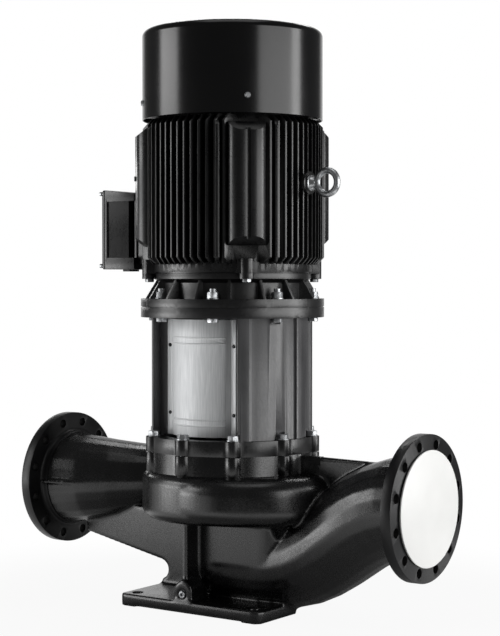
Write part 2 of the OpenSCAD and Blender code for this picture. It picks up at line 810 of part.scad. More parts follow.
// Corner pad with a split round bar, cut from the outline of its cross-section
pad_bar_r = 238;
module frame_pad() {
    pad_w = 148;
    bar_w = 90;
    pad_z = frame_z + 24;
    bar_z = frame_z + 65;
    bar_h = frame_h - 92;
    round_r = 30;
    intersection() {
        union() {
            translate([shell_r - 30, -pad_w / 2, pad_z]) cube([34, pad_w, frame_h - 40]);
            for (side = [-1, 1]) translate([shell_r - 30, side * (pad_w / 2 - 4) - 4, pad_z])
                cube([56, 8, frame_h - 40]);
        }
        translate([0, 0, pad_z]) {
            cylinder(r1 = fin_r - 11, r2 = fin_r + 6, h = 17);
            translate([0, 0, 17]) cylinder(r = fin_r + 6, h = frame_h - 77);
            translate([0, 0, frame_h - 60]) cylinder(r1 = fin_r + 6, r2 = fin_r - 13, h = 19);
        }
    }
    intersection() {
        difference() {
            union() {
                translate([shell_r - 10, -bar_w / 2, bar_z])
                    cube([pad_bar_r - shell_r - round_r + 10, bar_w, bar_h]);
                translate([shell_r - 10, round_r - bar_w / 2, bar_z])
                    cube([pad_bar_r - shell_r + 10, bar_w - 2 * round_r, bar_h]);
                for (side = [-1, 1]) translate([pad_bar_r - round_r, side * (bar_w / 2 - round_r), bar_z])
                    cylinder(r = round_r, h = bar_h);
            }
            translate([pad_bar_r - 7, -4, bar_z - 1]) cube([20, 8, bar_h + 2]);
        }
        rotate([90, 0, 0]) translate([0, 0, -bar_w]) linear_extrude(2 * bar_w) polygon([
            [shell_r - 20, bar_z], [pad_bar_r - 26, bar_z], [pad_bar_r + 2, bar_z + 22],
            [pad_bar_r + 2, bar_z + bar_h - 22], [pad_bar_r - 26, bar_z + bar_h],
            [shell_r - 20, bar_z + bar_h]
        ]);
    }
    translate([shell_r - 30, -lug_w / 2, frame_z]) cube([lug_r - shell_r + 30, lug_w, lug_h]);
    translate([lug_r, 0, frame_z]) cylinder(d = lug_w - 10, h = lug_h);
    translate([lug_r - 2, -lug_w / 2, frame_z]) cube([12, lug_w, lug_h - 6]);
}

eye_z = frame_z + 215;
box_z = frame_z + 11;
box_neck_w = 160;
module motor_frame() {
    color("#191a1b") difference() {
        union() {
            translate([0, 0, frame_z]) cylinder(r = shell_r, h = frame_h);
            translate([0, 0, frame_z]) cylinder(r = frame_ring_r, h = 26);
            frame_fins();
            diagonals(0) frame_pad();
            translate([shell_r - 20, 0, eye_z]) rotate([0, 90, 0]) cylinder(r = 27, h = 228 - shell_r + 20);
            translate([-box_root, -box_neck_w / 2, box_z + 14])
                cube([box_root - shell_r + 30, box_neck_w, box_h - 34]);
        }
        translate([0, 0, frame_z - 1]) cylinder(r = stator_r, h = frame_h + 2);
        translate([0, 0, frame_z - 1]) difference() {
            cylinder(r = frame_ring_r + 2, h = 5);
            translate([0, 0, -1]) cylinder(r = frame_ring_r - 7, h = 7);
            diagonals(lug_r) translate([0, 0, -1]) cube([80, lug_w + 4, 20], center = true);
        }
        translate([-box_root - 10, 0, box_z + box_h / 2 - 4]) rotate([0, 90, 0]) cylinder(r = 34, h = 90);
        translate([200, 0, eye_z]) rotate([0, 90, 0]) cylinder(d = 20, h = 40);
        diagonals(lug_r) translate([0, 0, frame_z - 1]) cylinder(d = 12 + 2 * seat_gap, h = 24);
        diagonals(stator_r + 6.5) translate([0, 0, frame_top_z - 22]) cylinder(d = 8 + 2 * seat_gap, h = 24);
        rotate([0, 0, 225]) translate([pad_bar_r - 36, 0, pad_screw_z])
            rotate([0, 90, 0]) cylinder(d = 6, h = 60);
    }
}

module stator_core() {
    color("#6d7073")
        translate([0, 0, stack_z])
        ring(stator_r - seat_gap, rotor_r + air_gap, stack_h);
}

module stator_windings() {
    color("#a5532a")
        for (z = [stack_z - 40, stack_z + stack_h])
        translate([0, 0, z]) rotate_extrude() translate([rotor_r + 10, 0]) difference() {
            square([40, 40]);
            translate([0, z < stack_z ? 0 : 40]) rotate(45) square(12, center = true);
            translate([40, z < stack_z ? 0 : 40]) rotate(45) square(12, center = true);
        }
}

module rear_end_shield() {
    disc_t = 12;
    hub = bearing_n_r + 14;
    color("#202122") difference() {
        union() {
            translate([0, 0, frame_top_z]) cylinder(r = shell_r, h = disc_t);
            translate([0, 0, frame_top_z - 8]) cylinder(r = stator_r - seat_gap, h = 9);
            translate([0, 0, bearing_n_z - 8]) cylinder(r = hub, h = bearing_n_h + 16);
            intersection() {
                diagonals(shell_r) translate([-50, -28, frame_top_z]) cube([80, 56, cowl_screw_up + 14]);
                translate([0, 0, frame_top_z])
                    cylinder(r = cowl_r - cowl_t - seat_gap, h = cowl_screw_up + 20);
            }
        }
        translate([0, 0, frame_top_z - 9]) ring(stator_r - 10, hub, 9);
        translate([0, 0, bearing_n_z]) cylinder(r = bearing_n_r, h = bearing_n_h);
        translate([0, 0, bearing_n_z - 20]) cylinder(r = bearing_n_r - 8, h = 60);
        diagonals(cowl_r - 18) translate([0, 0, frame_top_z + cowl_screw_up])
            rotate([0, 90, 0]) cylinder(d = 8, h = 30);
        diagonals(stator_r + 6.5) translate([0, 0, frame_top_z - 1]) cylinder(d = 8.6, h = 60);
        diagonals(stator_r + 6.5) translate([0, 0, frame_top_z + disc_t]) cylinder(d = 18, h = 60);
    }
}

module rear_shield_bolts() {
    color("#9a9da0")
        diagonals(stator_r + 6.5) translate([0, 0, frame_top_z + 12]) hex_bolt(8, 28, 13, 6);
}

drive_pitch = (bearing_d_r + bearing_d_in) / 2;
rear_pitch = (bearing_n_r + bearing_n_in) / 2;
ball_r = 10;
module drive_bearing_outer() {
    color("#b9bcbf") translate([0, 0, bearing_d_z]) difference() {
        ring(bearing_d_r - seat_gap, drive_pitch + ball_r - 3, bearing_d_h);
        rotate_extrude() translate([drive_pitch, bearing_d_h / 2]) circle(r = ball_r, $fn = 48);
    }
}

module drive_bearing_inner() {
    color("#c3c6c9") translate([0, 0, bearing_d_z]) difference() {
        ring(drive_pitch - ball_r + 3, bearing_d_in, bearing_d_h);
        rotate_extrude() translate([drive_pitch, bearing_d_h / 2]) circle(r = ball_r, $fn = 48);
    }
}

module rear_bearing_outer() {
    color("#b9bcbf") translate([0, 0, bearing_n_z]) difference() {
        ring(bearing_n_r - seat_gap, rear_pitch + ball_r - 3, bearing_n_h);
        rotate_extrude() translate([rear_pitch, bearing_n_h / 2]) circle(r = ball_r, $fn = 48);
    }
}

module rear_bearing_inner() {
    color("#c3c6c9") translate([0, 0, bearing_n_z]) difference() {
        ring(rear_pitch - ball_r + 3, bearing_n_in, bearing_n_h);
        rotate_extrude() translate([rear_pitch, bearing_n_h / 2]) circle(r = ball_r, $fn = 48);
    }
}

module balls(pitch, z) {
    around(ball_n, pitch) translate([0, 0, z]) sphere(r = ball_r - bearing_gap, $fn = 32);
}

module drive_bearing_balls() {
    color("#d4d6d8") balls(drive_pitch, bearing_d_z + bearing_d_h / 2);
}

module rear_bearing_balls() {
    color("#d4d6d8") balls(rear_pitch, bearing_n_z + bearing_n_h / 2);
}

module bearing_cap() {
    color("#3b3d3f")
        translate([0, 0, bearing_d_z + bearing_d_h])
        ring(bearing_d_r + 18, 42, 8);
}

// Fan cowl: a turned sheet with a rounded top edge and slotted inlet rings
module fan_cowl() {
    outer = cowl_r;
    color("#0f1011") translate([0, 0, cowl_z]) difference() {
        rotate_extrude() difference() {
            union() {
                square([outer, cowl_h - cowl_round]);
                square([outer - cowl_round, cowl_h]);
                translate([outer - cowl_round, cowl_h - cowl_round]) circle(r = cowl_round, $fn = 64);
            }
            translate([-1, -1]) square([outer - cowl_t + 1, cowl_h - cowl_round + 1]);
            translate([-1, -1]) square([outer - cowl_round + 1, cowl_h - cowl_t + 1]);
            translate([outer - cowl_round, cowl_h - cowl_round]) circle(r = cowl_round - cowl_t, $fn = 64);
        }
        difference() {
            for (r = [54 : 18 : 162]) translate([0, 0, cowl_h - 10]) ring(r + 11, r, 20);
            for (k = [0 : 3]) rotate([0, 0, 45 * k]) translate([-200, -5, cowl_h - 20]) cube([400, 10, 40]);
        }
        diagonals(cowl_r - 10) translate([0, 0, frame_top_z + cowl_screw_up - cowl_z])
            rotate([0, 90, 0]) cylinder(d = 9, h = 20);
    }
}

module cowl_screws() {
    color("#c9ccce")
        diagonals(cowl_r) translate([0, 0, frame_top_z + cowl_screw_up]) rotate([0, 90, 0]) {
            cylinder(r1 = 7.5, r2 = 5.5, h = 4.5);
            translate([0, 0, -16]) cylinder(d = 7.8, h = 16.5);
        }
}

// Terminal box, on the side opposite the eye bolt; it opens towards -X

module drafted_box(w, h, root_w, root_h, depth) {
    // one casting block with draft: the open side is larger than the root
    points = [
        for (s = [[0, w, h], [depth, root_w, root_h]]) each [
            [s[0], -s[1] / 2, 0], [s[0], s[1] / 2, 0], [s[0], s[1] / 2, s[2]], [s[0], -s[1] / 2, s[2]]
        ]
    ];
    faces = [[0, 1, 2, 3], [7, 6, 5, 4], [0, 4, 5, 1], [1, 5, 6, 2], [2, 6, 7, 3], [3, 7, 4, 0]];
    polyhedron(points, faces);
}

module terminal_box() {
    panel_z = 29;
    panel_h = 142;
    neck = 19;
    color("#202122") translate([-box_root - box_depth, 0, box_z]) difference() {
        drafted_box(box_w, box_h, box_w - 2, box_h - 10, box_depth);
        translate([-1, -box_w / 2 + box_wall + 4, box_wall + 4])
            cube([box_depth - box_wall + 1, box_w - 2 * box_wall - 8, box_h - 2 * box_wall - 16]);
        for (side = [-1, 1]) translate([box_depth / 2 + 2, side * (box_w / 2 + 1), panel_z + panel_h / 2])
            cube([box_depth - 10, 10, panel_h], center = true);
        for (side = [-1, 1])
            translate([box_depth - neck / 2 + 1, side * (box_w / 2 + 1), panel_z + panel_h / 2])
            cube([neck + 2, 26, panel_h], center = true);
        translate([box_depth - box_wall - 2, 0, box_h / 2 - 4]) rotate([0, 90, 0]) cylinder(r = 30, h = 30);
        for (y = [-1, 1]) translate([box_depth / 2 - 5, y * 42, -5]) cylinder(d = 32 + 2 * seat_gap, h = 20);
        for (y = [-1, 1]) for (z = [1, -1])
            translate([-1, y * (box_w / 2 - 7), box_h / 2 + z * (box_h / 2 - 9)])
            rotate([0, 90, 0]) cylinder(d = 6, h = 20);
    }
}

module box_gasket() {
    color("#46484a") translate([-box_root - box_depth - 1.5, 0, box_z]) difference() {
        translate([0, -box_w / 2 + 2, 2]) cube([1.5, box_w - 4, box_h - 4]);
        translate([-1, -box_w / 2 + box_wall + 6, box_wall + 6])
            cube([4, box_w - 2 * box_wall - 12, box_h - 2 * box_wall - 12]);
        for (y = [-1, 1]) for (z = [1, -1])
            translate([-1, y * (box_w / 2 - 7), box_h / 2 + z * (box_h / 2 - 9)])
            rotate([0, 90, 0]) cylinder(d = 6.4, h = 4);
    }
}

module box_lid() {
    color("#202122") translate([-box_root - box_depth - 1.5 - lid_t, 0, box_z]) difference() {
        union() {
            translate([lid_t / 2, -box_w / 2 + 6, 0]) cube([lid_t / 2, box_w - 12, box_h]);
            translate([lid_t / 2, -box_w / 2, 6]) cube([lid_t / 2, box_w, box_h - 12]);
            for (y = [-1, 1]) for (z = [6, box_h - 6]) translate([lid_t / 2, y * (box_w / 2 - 6), z])
                rotate([0, 90, 0]) cylinder(r = 6, h = lid_t / 2);
            translate([0, -box_w / 2 + 6, 6]) cube([lid_t, box_w - 12, box_h - 12]);
        }
        translate([5, -box_w / 2 + 16, 16]) cube([lid_t, box_w - 32, box_h - 32]);
        for (y = [-1, 1]) for (z = [1, -1])
            translate([-1, y * (box_w / 2 - 7), box_h / 2 + z * (box_h / 2 - 9)])
            rotate([0, 90, 0]) cylinder(d = 6.4, h = lid_t + 2);
    }
}

module lid_screws() {
    color("#8f9294") translate([-box_root - box_depth - 1.5 - lid_t, 0, box_z])
        for (y = [-1, 1]) for (z = [1, -1])
        translate([0, y * (box_w / 2 - 7), box_h / 2 + z * (box_h / 2 - 9)]) rotate([0, -90, 0]) {
            difference() {
                cylinder(d = 10.5, h = 6);
                translate([0, 0, 3]) cylinder(d = 6, h = 4, $fn = 6);
            }
            translate([0, 0, -lid_t - 14]) cylinder(d = 5.8, h = lid_t + 14.5);
        }
}

module terminal_block() {
    color("#5b4631") translate([-box_root - 14 - box_wall, 0, box_z + box_h / 2]) difference() {
        translate([0, -40, -42]) cube([14, 80, 30]);
        for (y = [-26, 0, 26]) translate([-1, y, -27]) rotate([0, 90, 0])
            cylinder(d = 6 + 2 * seat_gap, h = 12);
    }
}

module terminal_studs() {
    color("#b08d3e") translate([-box_root - 14 - box_wall, 0, box_z + box_h / 2])
        for (y = [-26, 0, 26]) translate([0, y, -27]) rotate([0, -90, 0]) {
            cylinder(d = 13, h = 5, $fn = 6);
            translate([0, 0, -10]) cylinder(d = 6, h = 32);
        }
}

module blanking_plugs() {
    color("#2e3031") translate([-box_root - box_depth, 0, box_z])
        for (y = [-1, 1]) translate([box_depth / 2 - 5, y * 42, 0]) {
            translate([0, 0, -5]) hexagon(38, 5);
            translate([0, 0, -1]) cylinder(d = 32, h = 13);
        }
}

eye_bolt_r = 28;
eye_wire_r = 8;
eye_x = 275;
module eye_bolt() {
    color("#d9dbdc") translate([0, 0, eye_z]) {
        translate([eye_x, 0, 0]) rotate([90, 0, 0]) rotate_extrude()
            translate([eye_bolt_r, 0]) circle(r = eye_wire_r, $fn = 32);
        rotate([0, 90, 0]) {
            translate([0, 0, 228]) cylinder(r = 19, h = 5);
            translate([0, 0, 233]) cylinder(r1 = 16, r2 = 10, h = 12);
            translate([0, 0, 205]) cylinder(d = 20 - 2 * seat_gap, h = 24);
        }
    }
}

pad_screw_z = frame_z + 230;
module earth_screw() {
    color("#3c3f41") rotate([0, 0, 225]) translate([pad_bar_r, 0, pad_screw_z]) rotate([0, 90, 0]) {
        cylinder(d = 12, h = 4);
        translate([0, 0, -19]) cylinder(d = 5.8, h = 19.5);
    }
}

// Shaft line

module motor_shaft() {
    end_r = motor_shaft_d / 2;
    color("#a9adb0") difference() {
        union() {
            translate([0, 0, motor_shaft_z]) cylinder(r = end_r, h = bearing_d_z - motor_shaft_z);
            translate([0, 0, bearing_d_z - 2]) cylinder(r = bearing_d_in - seat_gap, h = bearing_d_h + 4);
            translate([0, 0, bearing_d_z + bearing_d_h])
                cylinder(r = shaft_core_r - 2, h = stack_z - 20 - bearing_d_z - bearing_d_h);
            translate([0, 0, stack_z - 20]) cylinder(r = shaft_core_r, h = stack_h + 40);
            translate([0, 0, stack_z + stack_h + 20])
                cylinder(r = shaft_core_r - 4, h = bearing_n_z - stack_z - stack_h - 20);
            translate([0, 0, bearing_n_z - 1]) cylinder(r = bearing_n_in - seat_gap, h = bearing_n_h + 6);
            translate([0, 0, bearing_n_z + bearing_n_h])
                cylinder(r = fan_shaft_r, h = shaft_top_z - bearing_n_z - bearing_n_h);
        }
        translate([end_r - 7, -9, motor_shaft_z + 8]) cube([20, 18, 100]);
        translate([0, 0, fan_z + fan_h / 2 + 2]) ring(fan_shaft_r + 5, fan_shaft_r - 2, 2);
    }
}

module rotor_core() {
    color("#74777a")
        translate([0, 0, stack_z])
        ring(rotor_r, shaft_core_r + seat_gap, stack_h);
}

module rotor_cage() {
    color("#b4b7b9")
        for (end = [0, 1]) translate([0, 0, stack_z + end * stack_h]) mirror([0, 0, 1 - end]) {
            ring(rotor_r - 6, rotor_r - 36, 16);
            around(10, rotor_r - 21) translate([-11, -2.5, 10]) cube([22, 5, 22]);
        }
}

module motor_key() {
    color("#8f9295")
        translate([motor_shaft_d / 2 - 7, -9, motor_shaft_z + 8]) cube([11, 18, 100]);
}

module cooling_fan() {
    blades = 8;
    color("#2f3a3d") translate([0, 0, fan_z]) difference() {
        union() {
            cylinder(r = fan_shaft_r + 14, h = fan_h / 2 + 2);
            cylinder(r = fan_r - 40, h = 4);
            around(blades, 0) translate([fan_shaft_r + 8, -2, 0]) cube([fan_r - fan_shaft_r - 8, 4, fan_h]);
        }
        translate([0, 0, -1]) cylinder(r = fan_shaft_r + seat_gap, h = fan_h + 2);
    }
}

module fan_ring() {
    color("#505356")
        translate([0, 0, fan_z + fan_h / 2 + 2]) difference() {
            ring(fan_shaft_r + 4, fan_shaft_r - 2 + seat_gap, 2);
            translate([0, -4, -1]) cube([60, 8, 4]);
        }
}

clamp_rows = [24, 70, coupling_h - 70, coupling_h - 24];
clamp_x = (coupling_r + motor_shaft_d / 2) / 2 + 1;
module coupling_half(side) {
    translate([0, 0, coupling_z]) difference() {
        cylinder(r = coupling_r, h = coupling_h);
        translate([-100, side > 0 ? -200 : -1.5, -1]) cube([200, 201.5, coupling_h + 2]);
        translate([0, 0, -1]) cylinder(r = pump_shaft_r, h = pump_shaft_top - coupling_z + 2);
        translate([0, 0, pump_shaft_top - coupling_z]) cylinder(d = motor_shaft_d, h = coupling_h);
        if (side < 0) translate([motor_shaft_d / 2 - 8, -9, motor_shaft_z - coupling_z + 7])
            cube([12.5, 18.5, 200]);
        if (side > 0) translate([motor_shaft_d / 2 - 8, -9, motor_shaft_z - coupling_z + 7])
            cube([12.5, 18, 200]);
        for (x = [-1, 1]) for (z = clamp_rows) translate([x * clamp_x, 0, z]) rotate([90, 0, 0]) {
            translate([0, 0, -100]) cylinder(d = 10 + 2 * seat_gap, h = 200);
            if (side < 0) translate([0, 0, 34]) cylinder(d = 18, h = 60);
        }
    }
}

module coupling_front() {
    color("#86898c") coupling_half(-1);
}

module coupling_rear() {
    color("#86898c") coupling_half(1);
}

module coupling_screws() {
    color("#4b4e50") translate([0, 0, coupling_z])
        for (x = [-1, 1]) for (z = clamp_rows) translate([x * clamp_x, 0, z]) rotate([90, 0, 0]) {
            translate([0, 0, -30]) cylinder(d = 10, h = 64.5);
            translate([0, 0, 34]) difference() {
                cylinder(d = 16, h = 10);
                translate([0, 0, 5]) cylinder(d = 9, h = 6, $fn = 6);
            }
        }
}

module pump_shaft() {
    color("#b6babd") difference() {
        union() {
            translate([0, 0, hub_top]) cylinder(r = pump_shaft_r, h = pump_shaft_top - hub_top);
            translate([0, 0, hub_bottom]) cylinder(r = impeller_shaft_r, h = hub_top - hub_bottom + 1);
            translate([0, 0, hub_bottom - 26]) cylinder(r = 12, h = 27);
        }
        translate([impeller_shaft_r - 5, -6, hub_bottom + 8]) cube([12, 12, 44]);
    }
}

module pump_key() {
    color("#8f9295")
        translate([impeller_shaft_r - 5, -6, hub_bottom + 8]) cube([8, 12, 44]);
}

// Closed impeller: two shrouds joined by curved vanes, the eye faces down
vane_n = 6;
function vane_point(t, off) =
    let (r = eye_ring_r - 12 + (impeller_r - 1 - eye_ring_r + 12) * t, a = -62 * t)
    [r * cos(a + off / r * 57.3), r * sin(a + off / r * 57.3)];
module vanes() {
    steps = [0 : 1 / 8 : 1];
    for (k = [0 : vane_n - 1]) rotate([0, 0, 360 * k / vane_n])
        translate([0, 0, outlet_bottom - 1])
        linear_extrude(impeller_b + 2)
        polygon(concat([for (t = steps) vane_point(t, -2.5)], [for (t = steps) vane_point(1 - t, 2.5)]));
}

module impeller() {
    eye_in = eye_ring_r - 10;
    color("#8a6b3c") difference() {
        union() {
            translate([0, 0, outlet_top]) cylinder(r = impeller_r, h = shroud_t);
            translate([0, 0, outlet_bottom - shroud_t]) ring(impeller_r, eye_in, shroud_t);
            translate([0, 0, eye_bottom]) ring(eye_ring_r, eye_in, outlet_bottom - eye_bottom);
            translate([0, 0, hub_bottom]) cylinder(r = hub_r, h = hub_top - hub_bottom);
            vanes();
        }
        translate([0, 0, hub_bottom - 1])
            cylinder(r = impeller_shaft_r + seat_gap, h = hub_top - hub_bottom + 2);
        translate([impeller_shaft_r - 6, -6.1, hub_bottom - 1]) cube([9.3, 12.2, hub_top - hub_bottom + 2]);
    }
}

module impeller_nut() {
    color("#c4c7ca") difference() {
        union() {
            translate([0, 0, hub_bottom - 4]) cylinder(r = 27, h = 4);
            translate([0, 0, hub_bottom - 20]) hexagon(36, 16);
        }
        translate([0, 0, hub_bottom - 30]) cylinder(r = 12 + seat_gap, h = 40);
    }
}

head_z = seal_seat_z - seal_head_h - seat_gap;
module seal_head() {
    color("#3d4043") difference() {
        union() {
            translate([0, 0, head_z]) cylinder(r = seal_head_r, h = seal_head_h - 5);
            translate([0, 0, head_z]) cylinder(r = seal_head_r - 4, h = seal_head_h);
        }
        translate([0, 0, head_z - 1]) cylinder(r = pump_shaft_r + seat_gap, h = seal_head_h + 2);
    }
}

// Coil spring that presses the seal head against its seat
spring_r = 32;
spring_wire = 2.4;
spring_turns = 4;
module seal_spring() {
    base = hub_top + spring_wire + 0.1;
    rise = head_z - hub_top - 2 * spring_wire - 0.2;
    steps = 18 * spring_turns;
    color("#c9cccf") skin([
        for (i = [0 : steps])
        let (a = 360 * spring_turns * i / steps)
        ring_points(
            [spring_r * cos(a), spring_r * sin(a), base + rise * i / steps],
            [-sin(a), cos(a), 0.02], spring_wire, 6
        )
    ], 6);
}

// Round protective cover of the suction port, bare on its outer face
cover_d = 268;
cover_t = 4;
cover_lip = 20;
module flange_cover() {
    color("#f4f4f2") translate([flange_x + run_gap, 0, pipe_z]) rotate([0, 90, 0]) {
        cylinder(d = cover_d, h = cover_t);
        translate([0, 0, -cover_lip]) ring(port_d / 2 - run_gap, port_d / 2 - 4, cover_lip + 1);
    }
}

volute_casing();
wear_ring();
casing_gasket();
seal_housing();
seal_seat();
cover_bolts();
drain_plug();
lantern();
front_guard();
rear_guard();
guard_screws();
drive_end_shield();
motor_bolts();
motor_nuts();
drive_shield_bolts();
motor_frame();
stator_core();
stator_windings();
rear_end_shield();
rear_shield_bolts();
drive_bearing_outer();
rear_bearing_outer();
bearing_cap();
fan_cowl();
cowl_screws();
terminal_box();
box_gasket();
box_lid();
lid_screws();
terminal_block();
terminal_studs();
blanking_plugs();
eye_bolt();
earth_screw();
flange_cover();
motor_shaft();
rotor_core();
rotor_cage();
drive_bearing_inner();
rear_bearing_inner();
drive_bearing_balls();
rear_bearing_balls();
motor_key();
cooling_fan();
fan_ring();
coupling_front();
coupling_rear();
coupling_screws();
pump_shaft();
pump_key();
impeller();
impeller_nut();
seal_head();
seal_spring();
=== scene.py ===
# In-line circulation pump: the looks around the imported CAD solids.
# Metres, +Z up, the shaft axis is the Z axis, the pipe runs along X, the window side is -Y.

import json
import math

import bpy
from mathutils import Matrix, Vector


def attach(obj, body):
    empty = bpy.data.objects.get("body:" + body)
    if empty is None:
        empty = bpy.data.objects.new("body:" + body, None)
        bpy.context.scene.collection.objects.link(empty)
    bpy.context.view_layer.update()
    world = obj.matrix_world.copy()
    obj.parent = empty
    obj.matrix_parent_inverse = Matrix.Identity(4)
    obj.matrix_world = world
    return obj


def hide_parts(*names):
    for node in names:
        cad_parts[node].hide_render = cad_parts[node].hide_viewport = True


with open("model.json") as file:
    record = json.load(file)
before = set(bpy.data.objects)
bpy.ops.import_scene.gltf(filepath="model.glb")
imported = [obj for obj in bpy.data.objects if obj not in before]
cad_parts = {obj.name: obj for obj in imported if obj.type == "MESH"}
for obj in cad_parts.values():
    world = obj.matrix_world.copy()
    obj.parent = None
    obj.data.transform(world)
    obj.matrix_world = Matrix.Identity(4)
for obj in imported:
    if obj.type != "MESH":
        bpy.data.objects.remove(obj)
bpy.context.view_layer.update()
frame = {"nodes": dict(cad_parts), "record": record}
nodes = frame["nodes"]
MM = 0.001


# Colour and node helpers


def linear(code):
    """An sRGB hex colour as linear red, green, blue, alpha."""
    out = []
    for i in (1, 3, 5):
        c = int(code[i : i + 2], 16) / 255
        out.append(c / 12.92 if c <= 0.04045 else ((c + 0.055) / 1.055) ** 2.4)
    return (*out, 1.0)


def add(tree, kind, links=(), values=None, **settings):
    """Adds a node with its settings, links as (output, input) and values by input."""
    node = tree.nodes.new(kind)
    for key, value in settings.items():
        setattr(node, key, value)
    for socket, value in (values or {}).items():
        node.inputs[socket].default_value = value
    for output, socket in links:
        tree.links.new(output, node.inputs[socket])
    return node


def finish_of(name, base, rough, metallic=0.0, spec=0.5):
    """A new material with its shader and object coordinates, ready for its pattern."""
    mat = bpy.data.materials.new(name)
    mat.use_nodes = True
    tree = mat.node_tree
    shader = tree.nodes["Principled BSDF"]
    shader.inputs["Base Color"].default_value = linear(base)
    shader.inputs["Roughness"].default_value = rough
    shader.inputs["Metallic"].default_value = metallic
    shader.inputs["Specular IOR Level"].default_value = spec
    where = add(tree, "ShaderNodeTexCoord").outputs["Object"]
    return mat, tree, shader, where


def bumps_of(size_mm):
    """The scale of a noise texture whose bumps are about size_mm across."""
    return 1.0 / (size_mm * MM * 2)


# Where a noise texture's values go from one colour or gloss to the other
SPREAD = {"From Min": 0.35, "From Max": 0.65}
# The colour sockets of a mix node
FIRST, SECOND, MIXED = 6, 7, 2


# Materials, each from what the real surface is


def cast_paint(name, base, worn, rough, grain_mm, depth_mm, spec=0.5, gloss_range=0.08):
    """Paint on a sand casting: the sand's grain shows, and the gloss varies in patches."""
    mat, tree, shader, where = finish_of(name, base, rough, spec=spec)
    coords = [(where, "Vector")]
    patch_look = {"Scale": bumps_of(40), "Detail": 5}
    patch = add(tree, "ShaderNodeTexNoise", coords, patch_look).outputs["Fac"]
    grain_look = {"Scale": bumps_of(grain_mm), "Detail": 3}
    grain = add(tree, "ShaderNodeTexNoise", coords, grain_look).outputs["Fac"]
    sag_look = {"Scale": bumps_of(18), "Detail": 2}
    sag = add(tree, "ShaderNodeTexNoise", coords, sag_look).outputs["Fac"]

    share = add(tree, "ShaderNodeMapRange", [(patch, "Value")], SPREAD).outputs["Result"]
    two = {FIRST: linear(base), SECOND: linear(worn)}
    paint = add(tree, "ShaderNodeMix", [(share, "Factor")], two, data_type="RGBA")
    tree.links.new(paint.outputs[MIXED], shader.inputs["Base Color"])

    both = add(tree, "ShaderNodeMath", [(patch, 0), (grain, 1)], operation="MULTIPLY")
    span = {"From Min": 0.12, "From Max": 0.40}
    span |= {"To Min": rough - gloss_range, "To Max": rough + gloss_range}
    gloss = add(tree, "ShaderNodeMapRange", [(both.outputs["Value"], "Value")], span)
    tree.links.new(gloss.outputs["Result"], shader.inputs["Roughness"])

    sag_depth = {"Distance": depth_mm * 4 * MM, "Strength": 0.3}
    wave = add(tree, "ShaderNodeBump", [(sag, "Height")], sag_depth).outputs["Normal"]
    grain_depth = {"Distance": depth_mm * MM, "Strength": 0.6}
    relief = add(tree, "ShaderNodeBump", [(grain, "Height"), (wave, "Normal")], grain_depth)
    tree.links.new(relief.outputs["Normal"], shader.inputs["Normal"])
    return mat


def plated(name, base, worn, rough, metallic=1.0):
    """Zinc plated or turned steel: fine grain, slightly cloudy."""
    mat, tree, shader, where = finish_of(name, base, rough, metallic)
    coords = [(where, "Vector")]
    cloud_look = {"Scale": bumps_of(6), "Detail": 4}
    cloud = add(tree, "ShaderNodeTexNoise", coords, cloud_look).outputs["Fac"]
    grain_look = {"Scale": bumps_of(0.8), "Detail": 2}
    grain = add(tree, "ShaderNodeTexNoise", coords, grain_look).outputs["Fac"]

    share = add(tree, "ShaderNodeMapRange", [(cloud, "Value")], SPREAD).outputs["Result"]
    two = {FIRST: linear(base), SECOND: linear(worn)}
    metal = add(tree, "ShaderNodeMix", [(share, "Factor")], two, data_type="RGBA")
    tree.links.new(metal.outputs[MIXED], shader.inputs["Base Color"])

    span = {**SPREAD, "To Min": rough - 0.06, "To Max": rough + 0.08}
    gloss = add(tree, "ShaderNodeMapRange", [(cloud, "Value")], span)
    tree.links.new(gloss.outputs["Result"], shader.inputs["Roughness"])

    depth = {"Distance": 0.03 * MM, "Strength": 0.4}
    relief = add(tree, "ShaderNodeBump", [(grain, "Height")], depth)
    tree.links.new(relief.outputs["Normal"], shader.inputs["Normal"])
    return mat


def brushed(name, base, worn, rough, stretch, metallic=1.0):
    """Steel brushed along one direction, the one whose stretch differs."""
    mat, tree, shader, where = finish_of(name, base, rough, metallic)
    drawn = add(tree, "ShaderNodeMapping", [(where, "Vector")], {"Scale": stretch})
    coords = [(drawn.outputs["Vector"], "Vector")]
    line_look = {"Scale": bumps_of(3), "Detail": 4}
    lines = add(tree, "ShaderNodeTexNoise", coords, line_look).outputs["Fac"]

    share = add(tree, "ShaderNodeMapRange", [(lines, "Value")], SPREAD).outputs["Result"]
    two = {FIRST: linear(base), SECOND: linear(worn)}
    metal = add(tree, "ShaderNodeMix", [(share, "Factor")], two, data_type="RGBA")
    tree.links.new(metal.outputs[MIXED], shader.inputs["Base Color"])

    span = {**SPREAD, "To Min": rough - 0.05, "To Max": rough + 0.07}
    gloss = add(tree, "ShaderNodeMapRange", [(lines, "Value")], span)
    tree.links.new(gloss.outputs["Result"], shader.inputs["Roughness"])

    depth = {"Distance": 0.02 * MM, "Strength": 0.35}
    relief = add(tree, "ShaderNodeBump", [(lines, "Height")], depth)
    tree.links.new(relief.outputs["Normal"], shader.inputs["Normal"])
    return mat


